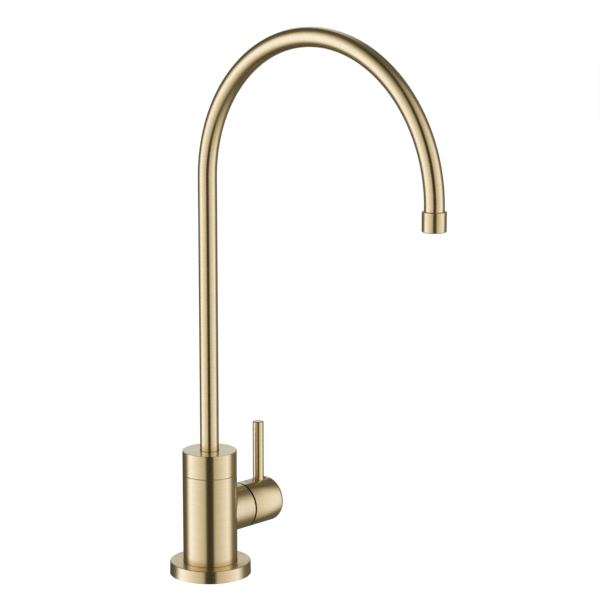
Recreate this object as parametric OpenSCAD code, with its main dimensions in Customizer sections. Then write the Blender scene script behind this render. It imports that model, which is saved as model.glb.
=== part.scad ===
// Drinking water tap: tall swivelling gooseneck spout, quarter turn side lever,
// threaded shank with its fixing nut, and a push-in inlet for the supply tube.
// Millimetres. z = 0 is the top of the sink deck, +Z is up, the spout reaches
// towards -Y and the valve lies along +X.

/* [Base] */
// Diameter of the round base where it meets the deck
base_d = 48; // [44:0.5:60]
// Height of the base
base_h = 7.5; // [6:0.5:12]
// How much the base narrows in diameter towards its top
base_draft = 0.4; // [0:0.1:1.2]
// Rounding of the base's top edge
base_edge_r = 0.6; // [0.3:0.1:1.2]
// Thickness of the base's top plate over its hollow
base_plate_t = 3.5; // [2.5:0.5:5]
// Width of the metal rim outside the sealing ring
base_rim_w = 1.9; // [1:0.1:3]
// Width of the metal rib between the sealing ring and the hollow
base_rib_w = 1.5; // [1:0.1:2.5]
// Width of the sealing ring under the base
gasket_w = 4.6; // [3:0.1:5.5]
// Thickness of the sealing ring under the base
gasket_t = 1.5; // [1:0.1:2.5]

/* [Body] */
// Diameter of the upright body
body_d = 32; // [30:0.5:38]
// Height of plain body between the base and the underside of the side valve
below_valve = 14.5; // [12:0.5:30]
// Height of plain body between the top of the side valve and the swivel seam
above_valve = 11.5; // [10.5:0.5:30]
// Small bevel on the body's turned edges
body_edge = 0.3; // [0.1:0.1:0.5]
// Diameter of the body's foot, which centres it in the base
foot_d = 19.8; // [18:0.1:22]
// Diameter of the rising water passage in the body
riser_d = 6; // [5:0.1:6.5]
// Distance of the rising passage behind the body's axis
riser_back = 6; // [5.4:0.1:7]
// Diameter of the two short level passages below and above the rising one
feed_d = 5; // [4:0.1:5.6]
// Diameter of the passage from the valve up to the spout
delivery_d = 4.8; // [4:0.1:5.6]

/* [Side valve] */
// Diameter of the side valve and of its handle hub
valve_d = 27; // [25:0.5:32]
// Distance from the body's axis to the end of the fixed side barrel
valve_reach = 25; // [23:0.5:34]
// Wall of the side barrel around the fixing ring
barrel_wall = 2.5; // [2:0.1:3.2]

/* [Swivel cap] */
// Height of the cap that turns with the spout
cap_h = 13.7; // [12:0.1:24]
// Open seam between the body and the cap
seam_gap = 0.3; // [0.2:0.1:0.8]
// Wall of the cap
cap_wall = 2.6; // [2:0.1:3.5]
// Thickness of the cap's top
cap_top_t = 2.5; // [1.5:0.1:4]

/* [Spout tube] */
// Outside diameter of the spout tube
tube_d = 11; // [9.5:0.1:12.5]
// Wall of the spout tube
tube_wall = 0.8; // [0.6:0.1:1.2]
// Radius of the gooseneck to the middle of the tube
arch_r = 84.5; // [50:0.5:120]
// Height of the gooseneck's centre above the deck
arch_z = 235.5; // [150:0.5:320]
// Straight tube between the gooseneck and the outlet collar
outlet_straight = 1.5; // [0.5:0.1:40]

/* [Outlet] */
// Diameter of the outlet collar
collar_d = 13.2; // [12.8:0.1:16]
// Height of the outlet collar
collar_h = 11; // [9:0.5:20]
// Bevel on the collar's edges
collar_edge = 0.4; // [0.1:0.1:0.6]
// Height of the lip that holds the flow straightener
lip_h = 0.9; // [0.6:0.1:1.5]
// Width of that lip, inwards
lip_w = 0.7; // [0.4:0.1:1.2]
// Height of the flow straightener
straightener_h = 3.5; // [2:0.1:4.5]
// Diameter of each channel in the flow straightener
channel_d = 1.4; // [1:0.1:1.5]
// Spacing of the rings of channels
channel_pitch = 1.9; // [1.8:0.1:2]
// Thickness of the outlet screen
screen_t = 0.3; // [0.2:0.1:0.6]
// Width of each square hole in the outlet screen
screen_hole = 0.7; // [0.5:0.1:1]
// Thickness of the outlet washer
outlet_gasket_t = 1.5; // [1:0.1:2]
// Width of the outlet washer
outlet_gasket_w = 1.5; // [1:0.1:1.8]

/* [Swivel stem] */
// Diameter of the bore in the body that the spout stem turns in
swivel_bore_d = 20.6; // [19:0.1:22]
// Depth of that bore below the swivel seam
swivel_bore_depth = 13.5; // [13:0.1:14.5]
// Diameter of the waterway through the spout stem
stem_bore_d = 9; // [7:0.1:9.2]
// Height of the stem's shoulder inside the cap
shoulder_h = 3; // [2:0.1:4]
// Wall of the socket that the tube is brazed into
tube_socket_wall = 3; // [2:0.1:4]
// Cord thickness of the spout's sealing rings
swivel_cord_d = 1.8; // [1.4:0.1:2]
// Depth of the grooves for the spout's sealing rings
swivel_groove_depth = 2; // [1.7:0.1:2.4]
// Distance between the two sealing rings
swivel_seal_pitch = 4; // [3.6:0.1:4.2]
// Thickness of the glide ring under the stem's shoulder
glide_t = 2; // [1.6:0.1:3]
// Width of the glide ring
glide_w = 2.9; // [2:0.1:3.2]
// Depth of the glide ring's seat in the body
glide_seat_depth = 1.5; // [1:0.1:1.5]
// Thickness of the split ring that keeps the spout in the body
keeper_t = 1.4; // [1:0.1:1.6]
// Width of that split ring
keeper_w = 1.7; // [1.4:0.1:2]
// How far that split ring reaches into the body's wall
keeper_bite = 0.6; // [0.4:0.1:0.8]
// Height of body between the keeper's groove and the glide ring's seat
keeper_land = 1; // [0.8:0.1:1.4]
// Opening in split rings
split_gap = 3; // [2:0.1:4]

/* [Handle] */
// Open seam between the side barrel and the handle hub
hub_gap = 0.8; // [0.3:0.1:1]
// Rounding of the hub's far edge
hub_edge_r = 3; // [1:0.1:4]
// How far the hub's thin collar reaches into the side barrel
hub_spigot_l = 1.3; // [0.8:0.1:2]
// Wall of that thin collar
hub_spigot_wall = 1.2; // [0.8:0.1:2]
// Diameter of the lever rod
lever_d = 6.6; // [5.5:0.1:8]
// Length of the lever above the hub
lever_l = 35.5; // [25:0.5:80]
// Distance of the lever's axis from the hub's inner end
lever_offset = 15; // [15:0.5:24]
// Distance of the lever's axis from the hub's far end
lever_inset = 9; // [8:0.5:16]
// Bevel on the lever's top
lever_edge = 0.5; // [0.2:0.1:1]
// Diameter of the lever's threaded end
lever_thread_d = 5; // [4:0.1:5]
// Length of the lever's threaded end
lever_thread_l = 6; // [4:0.1:7]
// Depth that the full lever sinks into the hub
lever_seat_depth = 5; // [3:0.1:6]
// Diameter of the screw that holds the hub on the stem
set_screw_d = 4; // [3:0.1:5]
// Length of that screw
set_screw_l = 6; // [4:0.1:8]
// Distance of that screw from the hub's inner end
set_screw_inset = 8; // [5:0.1:9]
// Width across the flats of the screw's socket
set_screw_key = 2; // [1.5:0.1:2.2]

/* [Cartridge] */
// Outside diameter of the cartridge housing
cartridge_d = 17.4; // [16.6:0.1:18.4]
// Inside diameter of the housing around the discs
disc_bore_d = 13.8; // [13:0.1:14.2]
// Thickness of each ceramic disc
disc_t = 2.5; // [1.8:0.1:3]
// Smaller radius of the ports in the discs
port_r_in = 1.5; // [1:0.1:2]
// Larger radius of the ports in the discs
port_r_out = 4.8; // [4:0.1:5]
// Half the angle that each port spans
port_half_angle = 40; // [30:1:42]
// Thickness of the inlet seal
inlet_seal_t = 2.2; // [1.6:0.1:3]
// How far the inlet seal stands out of the housing
inlet_seal_proud = 1; // [0.6:0.1:1.4]
// Inside diameter of the inlet seal
inlet_seal_bore_d = 7; // [6:0.1:8]
// Clear height between the moving disc and the stem's driver
driver_gap = 1.2; // [0.8:0.1:2]
// Thickness of the stem's driver
driver_t = 1.8; // [1.4:0.1:2.6]
// Width of the two driving prongs
prong_w = 2.4; // [1.8:0.1:3]
// Thickness of the slippery washer over the driver
slip_washer_t = 0.8; // [0.5:0.1:1.2]
// Length of the housing between its inner shoulder and its flange
housing_shoulder_l = 2.5; // [2.2:0.1:4]
// Thickness of the housing's flange
housing_flange_t = 2; // [1.5:0.1:3]
// Length of the housing's neck beyond its flange
neck_l = 6.5; // [6.2:0.1:7.4]
// Outside diameter of the housing's neck
neck_d = 12.4; // [11.4:0.1:13.4]
// Length of the ring nut that holds the cartridge
ring_nut_l = 5.8; // [4:0.1:6.1]
// Cord thickness of the housing's sealing ring
housing_cord_d = 1.5; // [1.2:0.1:1.6]
// Depth of the groove for the housing's sealing ring
housing_groove_depth = 1.35; // [1.2:0.01:1.5]
// Diameter of the valve stem
stem_d = 8; // [7:0.1:9]
// Cord thickness of the stem's sealing ring
stem_cord_d = 1; // [0.8:0.1:1.2]
// Number of splines on the stem
spline_count = 20; // [16:1:24]
// Depth of the splines
spline_depth = 0.5; // [0.3:0.1:0.8]
// How far the splines' tips lie below the plain stem
spline_relief = 0.1; // [0.05:0.01:0.3]
// Plain stem between its snap ring and its splines
stem_land = 1; // [0.6:0.1:1.4]
// Thickness of the stem's snap ring
snap_ring_t = 0.9; // [0.6:0.1:1]
// Width of the stem's snap ring
snap_ring_w = 1.7; // [1.2:0.1:2]

/* [Shank and deck fixing] */
// Diameter of the threaded shank below the deck
shank_d = 14; // [13:0.5:18]
// Length of the threaded shank below the deck
shank_l = 52; // [50:1:90]
// Diameter of the shank's thread inside the body
shank_top_d = 12; // [11:0.1:12.6]
// Length of the shank's thread inside the body
shank_top_l = 17; // [12:0.5:18]
// Diameter of the waterway in the shank
shank_bore_d = 7; // [5:0.1:7.4]
// Thickness of the sealing washer at the shank's upper end
shank_seal_t = 2; // [1:0.1:2.5]
// Width of that sealing washer
shank_seal_w = 2.2; // [1.8:0.1:2.3]
// Thickness of the sink deck that the nut is drawn for
deck_t = 30; // [3:1:34]
// Diameter of the washers under the deck
deck_washer_d = 38; // [34:0.5:44]
// Thickness of the rubber washer under the deck
rubber_washer_t = 3; // [2:0.1:4]
// Thickness of the steel washer under the deck
steel_washer_t = 1.6; // [1:0.1:2.5]
// Width across the flats of the fixing nut
nut_flats = 24; // [22:0.5:28]
// Height of the fixing nut
nut_h = 9; // [7:0.5:12]
// Diameter of the round flange of the fixing nut
nut_flange_d = 30; // [28:0.5:34]
// Thickness of the fixing nut's flange
nut_flange_t = 2; // [1.5:0.1:3]

/* [Inlet adapter] */
// Diameter of the shank's lower thread
tail_d = 11.1; // [10.5:0.1:11.5]
// Length of the shank's lower thread
tail_l = 9.5; // [8:0.5:12]
// Width across the flats of the adapter's nut
adapter_flats = 17; // [15:0.5:20]
// Diameter of the adapter below its nut
adapter_d = 16.4; // [15:0.1:17]
// Open seam between the shank and the adapter
adapter_top_gap = 0.6; // [0.3:0.1:1]
// Thickness of the washer in the adapter
adapter_gasket_t = 2; // [1:0.1:2.5]
// Diameter of the adapter's waterway
adapter_bore_d = 5.2; // [4:0.1:5.8]
// Length of the adapter's waterway
adapter_bore_l = 3.5; // [2:0.1:6]
// Outside diameter of the supply tube that pushes in
supply_tube_d = 6.35; // [6:0.05:6.5]
// Depth of the plain socket that the supply tube stops in
tube_stop_l = 5; // [3:0.1:8]
// Diameter of the room for the adapter's sealing ring
adapter_seal_room_d = 10.4; // [9.8:0.1:10.8]
// Height of the room for the adapter's sealing ring
adapter_seal_room_h = 3.2; // [2.4:0.1:4]
// Cord thickness of the adapter's sealing ring
adapter_cord_d = 1.9; // [1.4:0.1:1.9]
// Diameter of the room for the grab ring and the end sleeve
sleeve_room_d = 12; // [11.6:0.1:12.6]
// Thickness of the toothed grab ring
grab_ring_t = 0.5; // [0.3:0.1:0.8]
// Number of teeth on the grab ring
tooth_count = 10; // [8:1:12]
// Length of the end sleeve's skirt
sleeve_skirt_l = 4.3; // [4:0.1:6]
// Length of the end sleeve's guide
sleeve_guide_l = 4; // [3:0.1:6]
// Wall of the release collet
collet_wall = 1.15; // [0.9:0.05:1.2]
// Length of the collet's nose above its rim
collet_nose_l = 1.8; // [1.4:0.1:2.2]
// Height of the collet's rim
collet_rim_h = 1.2; // [0.8:0.1:1.6]
// How far the collet stands out of the adapter at rest
collet_proud = 3; // [2:0.1:5]
// Diameter of the collet's pushing flange
collet_flange_d = 12.6; // [11.6:0.1:14]
// Thickness of the collet's pushing flange
collet_flange_t = 1.5; // [1:0.1:2.5]

/* [Fits] */
// Radial gap of a part that turns or slides in a bore
running_gap = 0.08; // [0.05:0.01:0.1]
// Radial gap of a screwed, brazed or pushed-in part
joint_gap = 0.1; // [0.05:0.01:0.15]
// Radial gap around seals
seal_gap = 0.1; // [0.05:0.01:0.12]
// Free gap round parts that never touch
free_gap = 0.3; // [0.2:0.05:0.4]

/* [Hidden] */
$fn = 72;
cut = 1;
gold = [0.80, 0.68, 0.46];
brass = [0.76, 0.60, 0.30];
steel = [0.74, 0.75, 0.76];
rubber = [0.09, 0.09, 0.10];
white_plastic = [0.92, 0.92, 0.89];
grey_plastic = [0.55, 0.57, 0.60];
ceramic = [0.93, 0.90, 0.84];

// Number of sides of sealing rings and of the small channels in the mesh
seal_fn = 32;
channel_fn = 24;

// Heights of the body
base_r = base_d / 2;
body_r = body_d / 2;
valve_r = valve_d / 2;
valve_z = base_h + below_valve + valve_r;
seam_z = valve_z + valve_r + above_valve;
cap_z = seam_z + seam_gap;
cap_top_z = cap_z + cap_h;

// Base and its sealing ring
gasket_r_out = base_r - base_rim_w;
gasket_r_in = gasket_r_out - gasket_w;
hollow_r = gasket_r_in - seal_gap - base_rib_w;
foot_r = foot_d / 2;

// Cartridge, measured along +X from the floor of its chamber
mouth_r = valve_r - barrel_wall;
chamber_r = cartridge_d / 2 + free_gap;
housing_u = inlet_seal_proud;
fixed_disc_u = inlet_seal_t;
moving_disc_u = fixed_disc_u + disc_t;
driver_u = moving_disc_u + disc_t + driver_gap;
slip_washer_u = driver_u + driver_t;
shoulder_u = slip_washer_u + slip_washer_t;
flange_u = shoulder_u + housing_shoulder_l;
ring_nut_u = flange_u + housing_flange_t;
neck_end_u = ring_nut_u + neck_l;
snap_groove_w = snap_ring_t + joint_gap;
spline_u = neck_end_u + snap_groove_w + stem_land;
barrel_end_room = 4;
floor_x = valve_reach - neck_end_u - barrel_end_room;
window_lap = 0.2;
window_u = moving_disc_u + disc_t - window_lap;
window_l = driver_gap + driver_t;
window_w = 2 * prong_w;
delivery_x = floor_x + window_u + window_l / 2;
disc_r = disc_bore_d / 2 - joint_gap;
moving_disc_r = disc_bore_d / 2 - free_gap;
prong_t = 1.1;
stem_r = stem_d / 2;
snap_groove_r = stem_r - 0.6;
housing_groove_w = housing_cord_d + free_gap;
housing_groove_root_r = cartridge_d / 2 - housing_groove_depth;
housing_groove_u = flange_u - 0.4 - housing_groove_w;
stem_groove_w = stem_cord_d + free_gap;
stem_groove_u = shoulder_u + 3;
stem_seal_slack = 0.02;

// Swivel
swivel_r = swivel_bore_d / 2;
spigot_r = swivel_r - running_gap;
socket_floor_z = seam_z - swivel_bore_depth;
spigot_z = socket_floor_z + free_gap;
glide_z = seam_z - glide_seat_depth;
shoulder_z = glide_z + glide_t;
glide_r_in = swivel_r + joint_gap;
glide_r_out = glide_r_in + glide_w;
tube_r = tube_d / 2;
tube_bore_r = tube_r - tube_wall;
tube_foot_z = shoulder_z + shoulder_h;
cap_ceiling_z = cap_top_z - cap_top_t;
cap_r_in = body_r - cap_wall;
groove_r = spigot_r - swivel_groove_depth;
groove_room = 0.4;
spigot_land = 0.9;
swivel_groove_w = swivel_cord_d + groove_room;
lower_seal_z = spigot_z + spigot_land + swivel_groove_w / 2;
upper_seal_z = lower_seal_z + swivel_seal_pitch;
keeper_groove_h = keeper_t + groove_room;
keeper_z = glide_z - keeper_land - keeper_groove_h;
keeper_r_out = swivel_r + keeper_bite;
keeper_r_in = keeper_r_out - keeper_w;

// Outlet, measured up from the collar's lower face
collar_z = arch_z - outlet_straight - collar_h;
outlet_y = -2 * arch_r;
collar_r = collar_d / 2;
outlet_bore_r = tube_r + joint_gap;
insert_r = tube_r;
channel_rows = 2;
screen_pitch = screen_hole + 0.5;
screen_z = collar_z + lip_h + straightener_h;
outlet_gasket_z = screen_z + screen_t;
tube_end_z = outlet_gasket_z + outlet_gasket_t;

// Handle
hub_x = valve_reach + hub_gap;
hub_recess = 1;
hub_inner_x = hub_x + hub_recess;
lever_x = hub_x + lever_offset;
hub_end_x = lever_x + lever_inset;
hub_socket_wall = 1;
hub_socket_end_x = lever_x - lever_thread_d / 2 - joint_gap - hub_socket_wall;
stem_end_room = 1;
stem_end_x = hub_socket_end_x - stem_end_room;
lever_hole_room = 0.5;
lever_top_z = valve_z + valve_r + lever_l;
lever_seat_z = valve_z + valve_r - lever_seat_depth;
lever_foot_z = lever_seat_z - lever_thread_l;
lever_r = lever_d / 2;
set_screw_x = hub_x + set_screw_inset;
set_screw_r = set_screw_d / 2;

// Shank and what hangs on it
shank_r = shank_d / 2;
rubber_washer_z = -deck_t - rubber_washer_t;
steel_washer_z = rubber_washer_z - steel_washer_t;
nut_z = steel_washer_z - nut_h;
shank_socket_z = shank_top_l + shank_seal_t;
seal_ledge_w = 1.8;
plenum_r = shank_top_d / 2 - seal_ledge_w;
plenum_room = 1;
plenum_h = feed_d + plenum_room;
crossover_z = shank_socket_z + plenum_h / 2;
riser_r = riser_d / 2;

// Adapter, measured down from the end of the shank's large thread
adapter_gasket_v = tail_l;
adapter_floor_v = adapter_gasket_v + adapter_gasket_t;
adapter_nut_foot = 1;
adapter_nut_v = adapter_floor_v + adapter_nut_foot;
tube_stop_v = adapter_floor_v + adapter_bore_l;
seal_room_v = tube_stop_v + tube_stop_l;
grab_v = seal_room_v + adapter_seal_room_h;
skirt_v = grab_v + grab_ring_t;
guide_v = skirt_v + sleeve_skirt_l;
adapter_end_v = guide_v + sleeve_guide_l;
collet_flange_v = adapter_end_v + collet_proud;
collet_end_v = collet_flange_v + collet_flange_t;
collet_rim_v = guide_v - collet_rim_h;
collet_top_v = collet_rim_v - collet_nose_l;
tube_slack = 0.125;
tube_socket_r = supply_tube_d / 2 + tube_slack;
sleeve_r = sleeve_room_d / 2 - joint_gap;
collet_r = tube_socket_r + collet_wall;
skirt_room = 0.75;
collet_rim_r = sleeve_r - skirt_room;
collet_nose_r = tube_socket_r + 0.9;
collet_tip_r = tube_socket_r + 0.5;
grab_r = tube_socket_r + 0.05;
tooth_l = 1.5;
tooth_slot_w = 0.8;
adapter_seal_r = adapter_seal_room_d / 2 - seal_gap - adapter_cord_d / 2;

// Points on an arc, from angle a0 to angle a1
function arc(x, y, r, a0, a1, n = 8) =
    [for (i = [0 : n]) let (a = a0 + (a1 - a0) * i / n) [x + r * cos(a), y + r * sin(a)]];

// A flat ring standing on its own base plane
module ring(r_out, r_in, h) {
    difference() {
        cylinder(r = r_out, h = h);
        translate([0, 0, -cut]) cylinder(r = r_in, h = h + 2 * cut);
    }
}

// A sealing ring lying round the upright axis
module o_ring(r, cord_d) {
    rotate_extrude() translate([r, 0]) circle(d = cord_d, $fn = seal_fn);
}

// A turned part, from its half outline
module turned(outline) {
    rotate_extrude() polygon(outline);
}

// Turns an upright part onto the valve's axis, at a distance along +X
module on_valve_axis(x) {
    translate([x, 0, valve_z]) rotate([0, 90, 0]) children();
}

// Puts a part at a distance below the end of the shank's large thread
module below_shank(v) {
    translate([0, 0, -shank_l - v]) children();
}

// A ring cut open at one place
module split_ring(r_out, r_in, h) {
    difference() {
        ring(r_out, r_in, h);
        translate([0, -split_gap / 2, -cut]) cube([r_out + cut, split_gap, h + 2 * cut]);
    }
}

// Two opposite ports, as flat shapes either side of the Y axis
module ports() {
    reach = 2 * port_r_out;
    for (side = [0, 180]) rotate(side) intersection() {
        difference() {
            circle(r = port_r_out);
            circle(r = port_r_in);
        }
        polygon([
            [0, 0],
            [reach * cos(port_half_angle), reach * sin(port_half_angle)],
            [reach * cos(port_half_angle), -reach * sin(port_half_angle)]
        ]);
    }
}

// Outline of the stem's splines, grown by a gap for the hub's socket
module splines(gap) {
    tip_r = stem_r - spline_relief + gap;
    root_r = tip_r - spline_depth;
    step = 360 / spline_count;
    half_root = 0.30 * step;
    half_tip = 0.12 * step;
    polygon([for (i = [0 : spline_count - 1]) let (mid = i * step) each [
        [root_r * cos(mid - half_root), root_r * sin(mid - half_root)],
        [tip_r * cos(mid - half_tip), tip_r * sin(mid - half_tip)],
        [tip_r * cos(mid + half_tip), tip_r * sin(mid + half_tip)],
        [root_r * cos(mid + half_root), root_r * sin(mid + half_root)]
    ]]);
}

module base_flange() {
    top_r = base_r - base_draft / 2;
    hole_r = foot_r + joint_gap;
    under_z = base_h - base_plate_t;
    color(gold) turned(concat(
        [
            [hole_r, under_z], [hollow_r, under_z], [hollow_r, 0],
            [gasket_r_in - seal_gap, 0], [gasket_r_in - seal_gap, gasket_t],
            [gasket_r_out + seal_gap, gasket_t], [gasket_r_out + seal_gap, 0], [base_r, 0]
        ],
        arc(top_r - base_edge_r, base_h - base_edge_r, base_edge_r, 0, 90),
        [[hole_r, base_h]]
    ));
}

module base_gasket() {
    color(rubber) ring(gasket_r_out, gasket_r_in, gasket_t);
}

module valve_body() {
    color(gold) difference() {
        union() {
            turned([
                [0, 0], [foot_r, 0], [foot_r, base_h], [body_r, base_h],
                [body_r, seam_z - body_edge], [body_r - body_edge, seam_z], [0, seam_z]
            ]);
            on_valve_axis(0) turned([
                [0, 0], [valve_r, 0], [valve_r, valve_reach - body_edge],
                [valve_r - body_edge, valve_reach], [0, valve_reach]
            ]);
        }
        // threaded socket for the shank, and the water room over it
        translate([0, 0, -cut]) cylinder(r = shank_top_d / 2 + joint_gap, h = shank_socket_z + cut);
        translate([0, 0, shank_socket_z - cut]) cylinder(r = plenum_r, h = plenum_h + cut);
        translate([-riser_back, 0, crossover_z]) rotate([0, 90, 0]) cylinder(d = feed_d, h = riser_back);
        translate([-riser_back, 0, crossover_z]) cylinder(r = riser_r, h = valve_z - crossover_z);
        // feed into the valve, chamber and threaded mouth of the cartridge
        on_valve_axis(-riser_back) cylinder(d = feed_d, h = riser_back + floor_x + cut);
        on_valve_axis(floor_x) cylinder(r = chamber_r, h = valve_reach - floor_x);
        on_valve_axis(floor_x + flange_u) cylinder(r = mouth_r, h = valve_reach);
        // delivery up to the spout's socket
        translate([delivery_x, 0, valve_z])
            cylinder(d = delivery_d, h = socket_floor_z - valve_z + cut);
        // socket of the spout stem, groove of its keeper and seat of the glide ring
        translate([0, 0, socket_floor_z]) cylinder(r = swivel_r, h = swivel_bore_depth + cut);
        translate([0, 0, keeper_z])
            cylinder(r = keeper_r_out + free_gap, h = keeper_groove_h);
        translate([0, 0, glide_z]) cylinder(r = glide_r_out + free_gap, h = glide_seat_depth + cut);
    }
}

module spout_glide_ring() {
    color(white_plastic) translate([0, 0, glide_z]) ring(glide_r_out, glide_r_in, glide_t);
}

module spout_keeper_ring() {
    color(white_plastic) translate([0, 0, keeper_z]) rotate(90)
        split_ring(keeper_r_out, keeper_r_in, keeper_t);
}

module cartridge_housing() {
    bore_r = disc_bore_d / 2;
    outer_r = cartridge_d / 2;
    flange_r = mouth_r - free_gap;
    groove_u = housing_groove_u;
    color(brass) on_valve_axis(floor_x) difference() {
        turned([
            [bore_r, housing_u], [outer_r, housing_u],
            [outer_r, groove_u], [housing_groove_root_r, groove_u],
            [housing_groove_root_r, groove_u + housing_groove_w],
            [outer_r, groove_u + housing_groove_w], [outer_r, flange_u],
            [flange_r, flange_u], [flange_r, ring_nut_u],
            [neck_d / 2, ring_nut_u], [neck_d / 2, neck_end_u],
            [stem_r + running_gap, neck_end_u], [stem_r + running_gap, shoulder_u],
            [bore_r, shoulder_u]
        ]);
        // water leaves through two side windows
        translate([-cartridge_d, -window_w / 2, window_u])
            cube([2 * cartridge_d, window_w, window_l]);
        // slots that hold the ears of the fixed disc
        translate([-prong_w / 2 - joint_gap, -cartridge_d, 0])
            cube([prong_w + 2 * joint_gap, 2 * cartridge_d, moving_disc_u]);
    }
}

module cartridge_inlet_seal() {
    color(rubber) on_valve_axis(floor_x)
        ring(disc_r, inlet_seal_bore_d / 2, inlet_seal_t);
}

module fixed_ceramic_disc() {
    ear_r = cartridge_d / 2 - joint_gap;
    color(ceramic) on_valve_axis(floor_x + fixed_disc_u) difference() {
        union() {
            cylinder(r = disc_r, h = disc_t);
            intersection() {
                cylinder(r = ear_r, h = disc_t);
                translate([-prong_w / 2, -cartridge_d, 0])
                    cube([prong_w, 2 * cartridge_d, disc_t - joint_gap]);
            }
        }
        translate([0, 0, -cut]) linear_extrude(disc_t + 2 * cut) ports();
    }
}

module cartridge_o_ring() {
    color(rubber) on_valve_axis(floor_x + housing_groove_u + housing_groove_w / 2)
        o_ring((housing_groove_root_r + chamber_r) / 2, housing_cord_d);
}

module cartridge_ring_nut() {
    nut_r = mouth_r - joint_gap;
    slot_w = 3;
    slot_depth = 2;
    color(brass) on_valve_axis(floor_x + ring_nut_u) difference() {
        ring(nut_r, neck_d / 2 + free_gap, ring_nut_l);
        for (turn = [0, 90]) rotate(turn) translate([-mouth_r, -slot_w / 2, ring_nut_l - slot_depth])
            cube([2 * mouth_r, slot_w, slot_depth + cut]);
    }
}

module threaded_shank() {
    color(brass) turned([
        [shank_bore_d / 2, -shank_l - tail_l], [tail_d / 2, -shank_l - tail_l],
        [tail_d / 2, -shank_l], [shank_r, -shank_l], [shank_r, 0],
        [shank_top_d / 2, 0], [shank_top_d / 2, shank_top_l], [shank_bore_d / 2, shank_top_l]
    ]);
}

module shank_seal() {
    seal_r = shank_top_d / 2 - seal_gap;
    color(rubber) translate([0, 0, shank_top_l]) ring(seal_r, seal_r - shank_seal_w, shank_seal_t);
}

module deck_rubber_washer() {
    color(rubber) translate([0, 0, rubber_washer_z])
        ring(deck_washer_d / 2, shank_r + free_gap, rubber_washer_t);
}

module deck_steel_washer() {
    color(steel) translate([0, 0, steel_washer_z])
        ring(deck_washer_d / 2, shank_r + free_gap, steel_washer_t);
}

module mounting_nut() {
    color(brass) translate([0, 0, nut_z]) difference() {
        union() {
            cylinder(d = nut_flats / cos(30), h = nut_h, $fn = 6);
            translate([0, 0, nut_h - nut_flange_t]) cylinder(d = nut_flange_d, h = nut_flange_t);
        }
        translate([0, 0, -cut]) cylinder(r = shank_r + joint_gap, h = nut_h + 2 * cut);
    }
}

module adapter_body() {
    color(grey_plastic) difference() {
        union() {
            below_shank(adapter_nut_v)
                cylinder(d = adapter_flats / cos(30), h = adapter_nut_v - adapter_top_gap, $fn = 6);
            below_shank(adapter_end_v) cylinder(d = adapter_d, h = adapter_end_v - adapter_nut_v + cut);
        }
        below_shank(adapter_floor_v) cylinder(r = tail_d / 2 + joint_gap, h = adapter_floor_v);
        below_shank(tube_stop_v + cut) cylinder(d = adapter_bore_d, h = adapter_bore_l + 2 * cut);
        below_shank(seal_room_v + cut) cylinder(r = supply_tube_d / 2 + running_gap, h = tube_stop_l + cut);
        below_shank(grab_v + cut)
            cylinder(d = adapter_seal_room_d, h = adapter_seal_room_h + cut);
        below_shank(adapter_end_v + cut)
            cylinder(d = sleeve_room_d, h = adapter_end_v - grab_v + cut);
    }
}

module adapter_gasket() {
    color(rubber) below_shank(adapter_floor_v)
        ring(tail_d / 2 - seal_gap, adapter_bore_d / 2, adapter_gasket_t);
}

module adapter_o_ring() {
    color(rubber) below_shank(grab_v - adapter_cord_d / 2 - free_gap) o_ring(adapter_seal_r, adapter_cord_d);
}

module grab_ring() {
    color(steel) below_shank(skirt_v) difference() {
        ring(sleeve_r, grab_r, grab_ring_t);
        for (i = [0 : tooth_count - 1]) rotate(i * 360 / tooth_count)
            translate([0, -tooth_slot_w / 2, -cut])
                cube([grab_r + tooth_l, tooth_slot_w, grab_ring_t + 2 * cut]);
    }
}

module adapter_end_sleeve() {
    guide_r = collet_r + running_gap;
    skirt_r = collet_rim_r + running_gap;
    color(grey_plastic) below_shank(adapter_end_v) turned([
        [guide_r, 0], [sleeve_r, 0], [sleeve_r, sleeve_guide_l + sleeve_skirt_l],
        [skirt_r, sleeve_guide_l + sleeve_skirt_l], [skirt_r, sleeve_guide_l],
        [guide_r, sleeve_guide_l]
    ]);
}

module release_collet() {
    rim_h = collet_end_v - guide_v;
    color(white_plastic) below_shank(collet_end_v) turned([
        [tube_socket_r, 0], [collet_flange_d / 2, 0], [collet_flange_d / 2, collet_flange_t],
        [collet_r, collet_flange_t], [collet_r, rim_h], [collet_rim_r, rim_h],
        [collet_rim_r, rim_h + collet_rim_h], [collet_nose_r, rim_h + collet_rim_h],
        [collet_tip_r, collet_end_v - collet_top_v],
        [tube_socket_r, collet_end_v - collet_top_v]
    ]);
}

module spout_tube() {
    module tube_section() {
        difference() {
            circle(r = tube_r);
            circle(r = tube_bore_r);
        }
    }
    color(gold) {
        translate([0, 0, tube_foot_z]) linear_extrude(arch_z - tube_foot_z) tube_section();
        translate([0, -arch_r, arch_z]) rotate([90, 0, 90])
            rotate_extrude(angle = 180) translate([arch_r, 0]) tube_section();
        translate([0, outlet_y, tube_end_z]) linear_extrude(arch_z - tube_end_z) tube_section();
    }
}

module spout_cap() {
    color(gold) turned([
        [cap_r_in, cap_z], [body_r - body_edge, cap_z], [body_r, cap_z + body_edge],
        [body_r, cap_top_z - body_edge], [body_r - body_edge, cap_top_z],
        [tube_r + joint_gap, cap_top_z], [tube_r + joint_gap, cap_ceiling_z],
        [cap_r_in, cap_ceiling_z]
    ]);
}

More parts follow.
